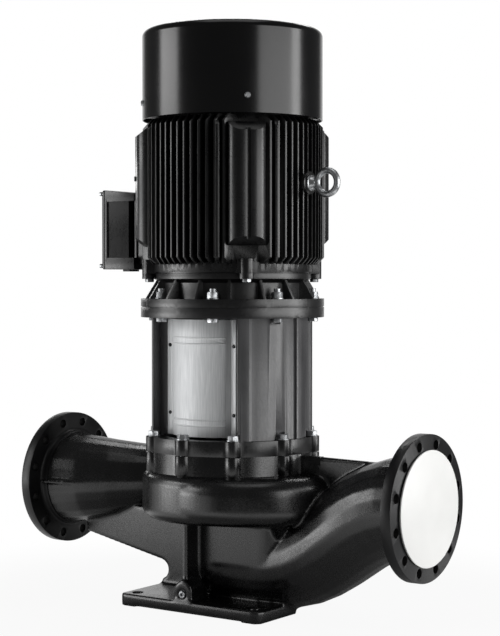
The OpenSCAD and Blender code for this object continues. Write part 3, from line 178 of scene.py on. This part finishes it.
def moulded(name, base, worn, rough, grain_mm=1.2, depth_mm=0.03, spec=0.5):
    """Moulded, pressed or cured surface: an even fine grain."""
    mat, tree, shader, where = finish_of(name, base, rough, spec=spec)
    coords = [(where, "Vector")]
    flow_look = {"Scale": bumps_of(30), "Detail": 3}
    flow = add(tree, "ShaderNodeTexNoise", coords, flow_look).outputs["Fac"]
    grain_look = {"Scale": bumps_of(grain_mm), "Detail": 2}
    grain = add(tree, "ShaderNodeTexNoise", coords, grain_look).outputs["Fac"]

    share = add(tree, "ShaderNodeMapRange", [(flow, "Value")], SPREAD).outputs["Result"]
    two = {FIRST: linear(base), SECOND: linear(worn)}
    skin = add(tree, "ShaderNodeMix", [(share, "Factor")], two, data_type="RGBA")
    tree.links.new(skin.outputs[MIXED], shader.inputs["Base Color"])

    depth = {"Distance": depth_mm * MM, "Strength": 0.5}
    relief = add(tree, "ShaderNodeBump", [(grain, "Height")], depth)
    tree.links.new(relief.outputs["Normal"], shader.inputs["Normal"])
    return mat


# Sand cast iron under black enamel: deep black, crisp highlights broken by the sand's grain
casing_paint = cast_paint(
    "black_enamel_on_sand_cast_iron", "#060607", "#09090a", 0.27, 2.0, 0.045, spec=0.68
)
# Turned flanges: the same enamel lies thinner on the machined iron and shines less
flange_paint = cast_paint(
    "black_enamel_on_turned_iron", "#08080a", "#0c0c0d", 0.40, 2.0, 0.06, spec=0.35
)
# Faces and bolt rings of lantern and shield: satin
shield_paint = cast_paint(
    "satin_black_enamel_on_iron", "#0a0a0b", "#101011", 0.34, 2.2, 0.10, spec=0.70
)
# The lantern's walls: the same black enamel, duller, with a painted grey sheen in its base colour
# where the light falls flat
lantern_paint_with_painted_sheen = cast_paint(
    "black_enamel_with_painted_grey_sheen", "#2b2b2d", "#363638", 0.44, 2.4, 0.32, spec=1.0
)
# Die cast aluminium of the motor under black enamel: a finer skin than the sand castings
motor_paint = cast_paint(
    "black_enamel_on_die_cast_aluminium", "#060607", "#09090a", 0.32, 1.6, 0.06, spec=0.60
)
# Spun sheet cowl under gloss black powder coat: mirror-like, with a fine orange peel
cowl_paint = cast_paint(
    "gloss_black_powder_coat_on_sheet",
    "#050506",
    "#060607",
    0.2,
    2.4,
    0.02,
    spec=0.50,
    gloss_range=0.02,
)
# Stainless sheet brushed along the pump's height: soft upright streaks
guard_steel = brushed(
    "brushed_stainless_sheet", "#eaebec", "#d8dadb", 0.70, (6, 6, 0.12), 0.72
)
# Zinc on the standard fasteners: pale, cloudy and rather dull
zinc = plated("zinc_plated_steel", "#c2c4c6", "#9a9c9e", 0.42)
# Eye bolt and cowl screws: brighter plating
bright = plated("satin_plated_steel", "#ced0d2", "#b2b4b6", 0.36)
# Oil blackened screws: dark with a metal's shine
blackened = plated("blackened_steel", "#2a2b2c", "#1c1d1e", 0.40, 0.8)
# Shafts and couplings: turned, so the fine lines run round the Z axis
turned_steel = brushed("turned_steel", "#a6a9ac", "#94979a", 0.28, (1, 1, 9))
bronze = plated("machined_bronze", "#b08a4e", "#94713c", 0.34)
race_steel = plated("ground_bearing_steel", "#c9cbce", "#b9bbbe", 0.18)
# Stacks of punched sheets: close lines across the height
lamination = brushed(
    "punched_steel_laminations", "#6c6f72", "#4f5254", 0.45, (0.4, 0.4, 60)
)
varnish = moulded("varnished_copper_winding", "#7a3416", "#5a220d", 0.35, 1.4, 0.5)
cage_alu = plated("die_cast_aluminium", "#b8babb", "#9fa1a3", 0.42)
seal_carbon = moulded("pressed_carbon", "#1d1d1f", "#242427", 0.38)
ceramic = moulded("ground_silicon_carbide", "#5c6166", "#6a6f74", 0.22)
gasket_fibre = moulded("pressed_fibre_gasket", "#2c2f2e", "#3a3d3c", 0.8, 0.8, 0.1)
# The loose cover: smooth plastic, nearly even white
white_cover = moulded(
    "smooth_white_polyethylene", "#f1f1ef", "#eeeeec", 0.38, 2.5, 0.02
)
# Drilled walls of the bolt holes: painted shade, a dark and dull finish standing in for the shade
# inside the holes
hole_walls_painted_shade = moulded(
    "painted_shade_in_the_bolt_holes", "#0c0b0b", "#080808", 0.8, 1.0, 0.05, spec=0.1
)
black_plastic = moulded("black_moulded_polyamide", "#121213", "#181819", 0.46)
fan_plastic = moulded("glass_filled_black_polyamide", "#15181a", "#1c2022", 0.5)
phenolic = moulded("brown_phenolic_moulding", "#3a2618", "#2c1c11", 0.4)
brass = plated("turned_brass", "#c9a557", "#b08c43", 0.28)
bare_iron = cast_paint("grey_primer_on_iron", "#3c3d3e", "#343536", 0.55, 1.4, 0.08)

node_finish = {
    "volute_casing": casing_paint,
    "lantern": lantern_paint_with_painted_sheen,
    "drive_end_shield": shield_paint,
    "rear_end_shield": motor_paint,
    "motor_frame": motor_paint,
    "terminal_box": motor_paint,
    "box_lid": motor_paint,
    "fan_cowl": cowl_paint,
    "front_guard": guard_steel,
    "rear_guard": guard_steel,
    "guard_screws": blackened,
    "cover_bolts": zinc,
    "motor_bolts": zinc,
    "motor_nuts": zinc,
    "drive_shield_bolts": zinc,
    "rear_shield_bolts": zinc,
    "cowl_screws": bright,
    "lid_screws": zinc,
    "drain_plug": zinc,
    "eye_bolt": bright,
    "earth_screw": blackened,
    "impeller_nut": zinc,
    "impeller": bronze,
    "wear_ring": bronze,
    "casing_gasket": gasket_fibre,
    "box_gasket": gasket_fibre,
    "seal_housing": bare_iron,
    "bearing_cap": bare_iron,
    "seal_seat": ceramic,
    "seal_head": seal_carbon,
    "seal_spring": bright,
    "stator_core": lamination,
    "rotor_core": lamination,
    "rotor_cage": cage_alu,
    "stator_windings": varnish,
    "drive_bearing_outer": race_steel,
    "rear_bearing_outer": race_steel,
    "drive_bearing_inner": race_steel,
    "rear_bearing_inner": race_steel,
    "drive_bearing_balls": race_steel,
    "rear_bearing_balls": race_steel,
    "motor_shaft": turned_steel,
    "pump_shaft": turned_steel,
    "motor_key": turned_steel,
    "pump_key": turned_steel,
    "coupling_front": turned_steel,
    "coupling_rear": turned_steel,
    "coupling_screws": blackened,
    "fan_ring": blackened,
    "terminal_block": phenolic,
    "terminal_studs": brass,
    "blanking_plugs": black_plastic,
    "cooling_fan": fan_plastic,
    "flange_cover": white_cover,
}
for name, finish in node_finish.items():
    mesh = nodes[name].data
    mesh.materials.clear()
    mesh.materials.append(finish)


# Modelling helpers


def alone(obj):
    """Makes obj the one selected and active object."""
    bpy.ops.object.select_all(action="DESELECT")
    obj.select_set(True)
    bpy.context.view_layer.objects.active = obj


def edit(obj):
    """Opens obj in edit mode."""
    alone(obj)
    bpy.ops.object.mode_set(mode="EDIT")


def leave_edit():
    bpy.ops.object.mode_set(mode="OBJECT")


def body_of_node(name):
    bodies = frame["record"]["behaviour"]["bodies"]
    return next(body for body, members in bodies.items() if name in members)


def copied(node, name):
    """A merged copy of a CAD node's mesh, free to be worked on."""
    source = nodes[node]
    obj = bpy.data.objects.new(name, source.data.copy())
    bpy.context.scene.collection.objects.link(obj)
    edit(obj)
    bpy.ops.mesh.select_all(action="SELECT")
    bpy.ops.mesh.remove_doubles(threshold=0.00001)
    bpy.ops.mesh.dissolve_limited(angle_limit=math.radians(0.6))
    leave_edit()
    return obj


def apply_modifiers(obj):
    """Makes obj's modifiers part of its mesh."""
    alone(obj)
    for m in list(obj.modifiers):
        bpy.ops.object.modifier_apply(modifier=m.name)


def eased_edges(obj, width_mm, segments=2, angle=32):
    """Breaks the sharp edges, as fettling and paint do."""
    m = obj.modifiers.new("edge", "BEVEL")
    m.width = width_mm * MM
    m.segments = segments
    m.limit_method = "ANGLE"
    m.angle_limit = math.radians(angle)
    m.use_clamp_overlap = True
    m.miter_outer = "MITER_ARC"
    apply_modifiers(obj)


def smooth(obj, angle=38):
    """Shades obj smooth up to an angle in degrees."""
    alone(obj)
    bpy.ops.object.shade_smooth_by_angle(angle=math.radians(angle))


def stands_for(obj, node, finish):
    """Gives obj its finish and puts it in the CAD node's place, on the node's body."""
    obj.data.materials.clear()
    obj.data.materials.append(finish)
    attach(obj, body_of_node(node))
    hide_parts(node)


def boolean(obj, tool, operation):
    """Cuts obj with tool, and puts the tool away."""
    m = obj.modifiers.new("cut", "BOOLEAN")
    m.operation = operation
    m.solver = "EXACT"
    m.object = tool
    apply_modifiers(obj)
    bpy.data.objects.remove(tool)


def joined(parts, name):
    """Makes one object of several."""
    bpy.ops.object.select_all(action="DESELECT")
    for part in parts:
        part.select_set(True)
    bpy.context.view_layer.objects.active = parts[0]
    if len(parts) > 1:
        bpy.ops.object.join()
    parts[0].name = name
    bpy.ops.object.transform_apply(location=True, rotation=True, scale=True)
    return parts[0]


def rod(radius, start, end, axis, sides=48):
    """A round bar between two places on an axis, as a cutter or a blank."""
    middle = [(a + b) / 2 for a, b in zip(start, end)]
    length = (Vector(end) - Vector(start)).length
    turn = {"X": (0, math.pi / 2, 0), "Y": (math.pi / 2, 0, 0), "Z": (0, 0, 0)}[axis]
    bpy.ops.object.select_all(action="DESELECT")
    bpy.ops.mesh.primitive_cylinder_add(
        vertices=sides, radius=radius, depth=length, location=middle, rotation=turn
    )
    return bpy.context.active_object


def turned(name, outline, centre, axis="Z", sides=96):
    """A turned ring from a closed outline of (place, radius) points along its axis.

    A circle is pulled from point to point and resized to each radius.
    """
    along = {"X": 0, "Z": 2}[axis]
    place = list(centre)
    place[along] += outline[0][0]
    bpy.ops.object.select_all(action="DESELECT")
    bpy.ops.mesh.primitive_circle_add(
        vertices=sides,
        radius=outline[0][1],
        fill_type="NOTHING",
        location=place,
        rotation=(0, math.pi / 2, 0) if axis == "X" else (0, 0, 0),
    )
    obj = joined([bpy.context.active_object], name)
    edit(obj)
    bpy.ops.mesh.select_all(action="SELECT")
    loop = list(outline[1:]) + [outline[0]]
    for (last, wide), (now, next_wide) in zip(outline, loop):
        step = [0, 0, 0]
        step[along] = now - last
        place[along] += now - last
        bpy.ops.mesh.extrude_region_move(TRANSFORM_OT_translate={"value": step})
        k = next_wide / wide
        grow = [k, k, k]
        grow[along] = 1
        bpy.ops.transform.resize(value=grow, center_override=place)
    bpy.ops.mesh.select_all(action="SELECT")
    bpy.ops.mesh.remove_doubles(threshold=0.000005)
    bpy.ops.mesh.normals_make_consistent(inside=False)
    leave_edit()
    return obj


def refined(node, width_mm, segments=2, angle=32):
    """The CAD node again with broken edges."""
    obj = copied(node, node + "_eased")
    eased_edges(obj, width_mm, segments, angle)
    smooth(obj)
    stands_for(obj, node, node_finish[node])
    return obj


# What each node's edges are broken by, in millimetres
broken_edges = {
    "cover_bolts": 0.7,
    "motor_bolts": 0.7,
    "motor_nuts": 0.7,
    "drive_shield_bolts": 0.6,
    "box_lid": 1.5,
    "terminal_box": 1.5,
    "flange_cover": 0.8,
    "drain_plug": 0.5,
    "earth_screw": 0.6,
    "coupling_front": 0.8,
    "coupling_rear": 0.8,
    "blanking_plugs": 0.8,
    "cooling_fan": 0.8,
    "motor_frame": 0.9,
    "rear_end_shield": 0.8,
    "front_guard": 0.3,
    "rear_guard": 0.3,
}
for name, width in broken_edges.items():
    refined(name, width)


# Lantern and drive end shield: a fine groove marks the joint of their flanges

JOINT_Z = 0.735
JOINT_HALF = 1.1 * MM
JOINT_FLOOR_R = 0.2225
BEYOND_RIM_R = 0.228
# The lantern's walls stand between its two flanges
WALLS_FROM_Z = 0.424
WALLS_TO_Z = 0.712

groove = [
    (JOINT_Z - JOINT_HALF, JOINT_FLOOR_R),
    (JOINT_Z - JOINT_HALF, BEYOND_RIM_R),
    (JOINT_Z + JOINT_HALF, BEYOND_RIM_R),
    (JOINT_Z + JOINT_HALF, JOINT_FLOOR_R),
]
for name in ("lantern", "drive_end_shield"):
    obj = copied(name, name + "_grooved")
    boolean(obj, turned("joint_line", groove, (0, 0, 0)), "DIFFERENCE")
    eased_edges(obj, 1.2)
    smooth(obj)
    stands_for(obj, name, shield_paint)
    # The lantern's walls between its flanges get the enamel with the painted grey sheen; its
    # flanges keep the satin black
    if name == "lantern":
        obj.data.materials.append(lantern_paint_with_painted_sheen)
        for face in obj.data.polygons:
            if WALLS_FROM_Z < face.center.z < WALLS_TO_Z:
                face.material_index = 1


# The casing: its body gets the fillets of a casting, its flanges and bolt ring keep their edges

PIPE_Z = 0.280
BORE_R = 0.0997
FLANGE_R = 0.170
FLANGE_BACK = 0.5218
FLANGE_FACE = 0.547
RAISED_FACE = 0.550
RAISED_R = 0.133
BOLT_CIRCLE_R = 0.1475
BOLT_HOLES = 12
STEP_DEG = 360 / BOLT_HOLES
# The neck goes under the body's skin this far behind the flange
NECK_START = FLANGE_BACK - 0.017


def pipe_flange(name, side, neck_r, hole_r):
    """A turned pipe flange with its raised face, its holes and the fillet behind it."""
    outline = [
        (NECK_START, neck_r - 0.0012),
        (FLANGE_BACK - 0.010, neck_r + 0.0002),
        (FLANGE_BACK - 0.0055, neck_r + 0.0013),
        (FLANGE_BACK - 0.0024, neck_r + 0.0036),
        (FLANGE_BACK - 0.0007, neck_r + 0.0068),
        (FLANGE_BACK, neck_r + 0.0105),
        (FLANGE_BACK, FLANGE_R),
        (FLANGE_FACE, FLANGE_R),
        (FLANGE_FACE, RAISED_R),
        (RAISED_FACE, RAISED_R),
        (RAISED_FACE, BORE_R),
        (NECK_START, BORE_R),
    ]
    obj = turned(name, [(side * x, r) for x, r in outline], (0, 0, PIPE_Z), "X")
    drills = []
    for k in range(BOLT_HOLES):
        a = math.radians(STEP_DEG * (k + 0.5))
        y, z = BOLT_CIRCLE_R * math.cos(a), PIPE_Z + BOLT_CIRCLE_R * math.sin(a)
        drills.append(rod(hole_r, (side * 0.50, y, z), (side * 0.56, y, z), "X", 32))
    boolean(obj, joined(drills, "drills"), "DIFFERENCE")
    eased_edges(obj, 1.0, 2, 40)
    smooth(obj, 30)
    obj.data.materials.append(flange_paint)
    obj.data.materials.append(hole_walls_painted_shade)
    # The holes' walls, near a hole's axis and not facing along it, get the painted shade
    wall_r = hole_r + 1.2 * MM
    for face in obj.data.polygons:
        _, y, z = face.center
        out = math.hypot(y, z - PIPE_Z)
        turn = math.degrees(math.atan2(z - PIPE_Z, y)) % STEP_DEG - STEP_DEG / 2
        off = out * math.cos(math.radians(turn)) - BOLT_CIRCLE_R
        aside = BOLT_CIRCLE_R * math.sin(math.radians(turn))
        if math.hypot(off, aside) < wall_r and abs(face.normal.x) < 0.95:
            face.material_index = 1
    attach(obj, "base")
    return obj


# The bolt ring starts here; the body ends below it and at the backs of the flanges
RING_FOOT_Z = 0.3373
OVERLAP = 0.4 * MM
MOST_TRIANGLES = 185000

body = copied("volute_casing", "volute_casing_body")
flange_start = FLANGE_BACK - OVERLAP
body_cutters = [
    rod(0.238, (0, 0, RING_FOOT_Z), (0, 0, 0.5), "Z", 96),
    rod(0.3, (flange_start, 0, PIPE_Z), (0.7, 0, PIPE_Z), "X"),
    rod(0.3, (-0.7, 0, PIPE_Z), (-flange_start, 0, PIPE_Z), "X"),
]
boolean(body, joined(body_cutters, "body_cutter"), "DIFFERENCE")
m = body.modifiers.new("skin", "REMESH")
m.mode = "VOXEL"
m.voxel_size = 3.6 * MM
m.adaptivity = 0.0
apply_modifiers(body)
m = body.modifiers.new("fillets", "SMOOTH")
m.factor = 0.5
m.iterations = 7
apply_modifiers(body)
triangles = sum(len(p.vertices) - 2 for p in body.data.polygons)
if triangles > MOST_TRIANGLES:
    m = body.modifiers.new("lighter", "DECIMATE")
    m.ratio = MOST_TRIANGLES / triangles
    apply_modifiers(body)
smooth(body, 60)

bolt_ring = copied("volute_casing", "volute_casing_bolt_ring")
ring_blank = rod(0.262, (0, 0, RING_FOOT_Z - 0.007), (0, 0, 0.5), "Z", 96)
boolean(bolt_ring, joined([ring_blank], "ring_blank"), "INTERSECT")
eased_edges(bolt_ring, 1.3, 2, 32)
smooth(bolt_ring)
for obj in (body, bolt_ring):
    stands_for(obj, "volute_casing", casing_paint)
pipe_flange("suction_flange_turned", 1, 0.1187, 0.0115)
pipe_flange("discharge_flange_turned", -1, 0.1220, 0.011)


# The forged eye bolt: the ring flows into its collar

eye = copied("eye_bolt", "eye_bolt_forged")
m = eye.modifiers.new("forged", "REMESH")
m.mode = "VOXEL"
m.voxel_size = 1.1 * MM
apply_modifiers(eye)
m = eye.modifiers.new("flow", "SMOOTH")
m.factor = 0.5
m.iterations = 5
apply_modifiers(eye)
smooth(eye, 60)
stands_for(eye, "eye_bolt", bright)


# Camera, lamps, floor

# The camera was fitted to the two pipe flanges, the motor's flange and the cowl in the photo
PHOTO = (500, 636)
FOCAL_PX = 1629.5
SENSOR_MM = 36
AZIMUTH = math.radians(35.21)
PITCH = math.radians(1.31)
CAMERA_PLACE = (2.3467, -3.2510, 0.7985)
back = Vector(
    (
        math.sin(AZIMUTH) * math.cos(PITCH),
        -math.cos(AZIMUTH) * math.cos(PITCH),
        math.sin(PITCH),
    )
)
camera = bpy.data.objects.new("camera", bpy.data.cameras.new("camera"))
bpy.context.scene.collection.objects.link(camera)
camera.data.sensor_width = SENSOR_MM
camera.data.lens = FOCAL_PX / max(PHOTO) * SENSOR_MM
camera.location = CAMERA_PLACE
camera.rotation_mode = "QUATERNION"
camera.rotation_quaternion = (-back).to_track_quat("-Z", "Y")
camera.data.clip_end = 60
bpy.context.scene.camera = camera


def softbox(name, place, aim, size, glow):
    """A rectangular lamp. Its glow is what a mirror shows of it: 1 is the backdrop's white."""
    lamp = bpy.data.objects.new(name, bpy.data.lights.new(name, "AREA"))
    bpy.context.scene.collection.objects.link(lamp)
    lamp.data.shape = "RECTANGLE"
    lamp.data.size, lamp.data.size_y = size
    lamp.data.energy = glow * math.pi * size[0] * size[1]
    lamp.location = place
    lamp.rotation_mode = "QUATERNION"
    lamp.rotation_quaternion = (Vector(aim) - Vector(place)).to_track_quat("-Z", "Y")
    return lamp


def around(degrees, distance, height):
    """A place by its degrees to the camera's right, and its distance from the shaft."""
    a = AZIMUTH + math.radians(degrees)
    return (math.sin(a) * distance, -math.cos(a) * distance, height)


def panel(name, at, distance, across_deg, low, high, glow):
    """A softbox facing the shaft, across_deg wide as seen from it, between two heights."""
    wide = 2 * distance * math.tan(math.radians(across_deg / 2))
    middle = (low + high) / 2
    place = around(at, distance, middle)
    return softbox(name, place, (0, 0, middle), (wide, high - low), glow)


# Left: one tall bank, brightest beside the casing and beside the cowl
panel("left_panel_low", -84, 2.6, 29, 0.0, 0.5, 5.6)
panel("left_panel_middle", -84, 2.6, 29, 0.5, 1.4, 2.9)
panel("left_panel_high", -84, 2.6, 29, 1.4, 1.9, 5.2)
# Behind on the left: edges that face away from the camera
panel("left_rear_panel", -147, 2.6, 20, 0.95, 1.3, 5.0)
# Right: a broad bank and a narrow bright strip, as the cowl and the motor's fins show
panel("right_panel", 56, 2.7, 48, 0.05, 1.9, 3.1)
panel("right_strip", 85, 2.6, 13, 0.05, 1.9, 6.4)
# Above: a line of light on upper edges, and a weak fill
softbox("top_back_panel", around(172, 1.9, 2.75), (0, 0, 0.5), (1.8, 0.3), 8.0)
softbox("top_fill", (0.2, -0.3, 3.2), (0, 0, 0.5), (1.6, 1.6), 0.9)


def studio_white(tree):
    """1 for the rays that show the background: those of the camera and of glass."""
    ray = add(tree, "ShaderNodeLightPath").outputs
    either = [(ray["Is Camera Ray"], 0), (ray["Is Transmission Ray"], 1)]
    seen = add(tree, "ShaderNodeMath", either, operation="MAXIMUM")
    return ray, seen.outputs["Value"]


FLOOR_R = 1.25
SMOOTH = {"interpolation_type": "SMOOTHSTEP"}

# White vinyl floor: it glows for the camera, keeps a part of its shadow under the pump,
# and glows in gloss only beyond the casing, whose underside stays dark
floor_mat = bpy.data.materials.new("white_vinyl_floor")
floor_mat.use_nodes = True
tree = floor_mat.node_tree
vinyl = tree.nodes["Principled BSDF"]
vinyl.inputs["Base Color"].default_value = linear("#b4b4b4")
vinyl.inputs["Roughness"].default_value = 0.9
ray, seen = studio_white(tree)
place = add(tree, "ShaderNodeTexCoord").outputs["Object"]
out = add(tree, "ShaderNodeVectorMath", [(place, 0)], operation="LENGTH").outputs["Value"]
span = {"From Min": 0.6, "From Max": 1.2, "To Min": 0.93, "To Max": 1.0}
fade = add(tree, "ShaderNodeMapRange", [(out, "Value")], span, **SMOOTH).outputs["Result"]
share = add(tree, "ShaderNodeMath", [(seen, 0), (fade, 1)], operation="MULTIPLY")
span = {"From Min": 0.42, "From Max": 0.75}
near = add(tree, "ShaderNodeMapRange", [(out, "Value")], span, **SMOOTH).outputs["Result"]
both = [(ray["Is Glossy Ray"], 0), (near, 1)]
shine = add(tree, "ShaderNodeMath", both, operation="MULTIPLY")
both = [(share.outputs["Value"], 0), (shine.outputs["Value"], 1)]
share = add(tree, "ShaderNodeMath", both, operation="MAXIMUM")
white = add(tree, "ShaderNodeEmission", values={"Color": (1, 1, 1, 1), "Strength": 1.0})
layers = [(share.outputs["Value"], 0), (vinyl.outputs["BSDF"], 1), (white.outputs["Emission"], 2)]
mix = add(tree, "ShaderNodeMixShader", layers)
tree.links.new(mix.outputs["Shader"], tree.nodes["Material Output"].inputs["Surface"])
bpy.ops.object.select_all(action="DESELECT")
bpy.ops.mesh.primitive_circle_add(
    vertices=96, radius=FLOOR_R, fill_type="NGON", location=(0, 0, -0.0005)
)
floor = bpy.context.active_object
floor.name = "floor"
floor.data.materials.append(floor_mat)

# Studio: white all round for the camera; for gloss a white backdrop behind the pump and a
# white sweep below the horizon on the left; and a dim room that fills the shadows
SWEEP = math.radians(50)
ROOM_GLOW = 0.10
world = bpy.data.worlds.new("studio")
bpy.context.scene.world = world
world.use_nodes = True
tree = world.node_tree
ray, seen = studio_white(tree)
look = add(tree, "ShaderNodeTexCoord").outputs["Generated"]

ahead = {1: (-math.sin(AZIMUTH), math.cos(AZIMUTH), 0)}
facing = add(tree, "ShaderNodeVectorMath", [(look, 0)], ahead, operation="DOT_PRODUCT")
span = {"From Min": 0.80, "From Max": 0.96}
towards = [(facing.outputs["Value"], "Value")]
backdrop = add(tree, "ShaderNodeMapRange", towards, span, **SMOOTH).outputs["Result"]

height = add(tree, "ShaderNodeSeparateXYZ", [(look, 0)]).outputs["Z"]
span = {"From Min": -0.01, "From Max": -0.06}
below = add(tree, "ShaderNodeMapRange", [(height, "Value")], span, **SMOOTH).outputs["Result"]
leftwards = {1: (-math.sin(SWEEP), -math.cos(SWEEP), 0)}
left = add(tree, "ShaderNodeVectorMath", [(look, 0)], leftwards, operation="DOT_PRODUCT")
span = {"From Min": 0.72, "From Max": 0.92}
towards = [(left.outputs["Value"], "Value")]
beside = add(tree, "ShaderNodeMapRange", towards, span, **SMOOTH).outputs["Result"]
sweep = add(tree, "ShaderNodeMath", [(below, 0), (beside, 1)], operation="MULTIPLY")

both = [(backdrop, 0), (sweep.outputs["Value"], 1)]
white = add(tree, "ShaderNodeMath", both, operation="MAXIMUM").outputs["Value"]
both = [(ray["Is Glossy Ray"], 0), (white, 1)]
gloss = add(tree, "ShaderNodeMath", both, operation="MULTIPLY").outputs["Value"]
seen = add(tree, "ShaderNodeMath", [(seen, 0), (gloss, 1)], operation="MAXIMUM")
span = {"To Min": ROOM_GLOW, "To Max": 1.0}
level = add(tree, "ShaderNodeMapRange", [(seen.outputs["Value"], "Value")], span)
background = tree.nodes["Background"]
background.inputs["Color"].default_value = (1, 1, 1, 1)
tree.links.new(level.outputs["Result"], background.inputs["Strength"])

bpy.context.scene.view_settings.view_transform = "Standard"
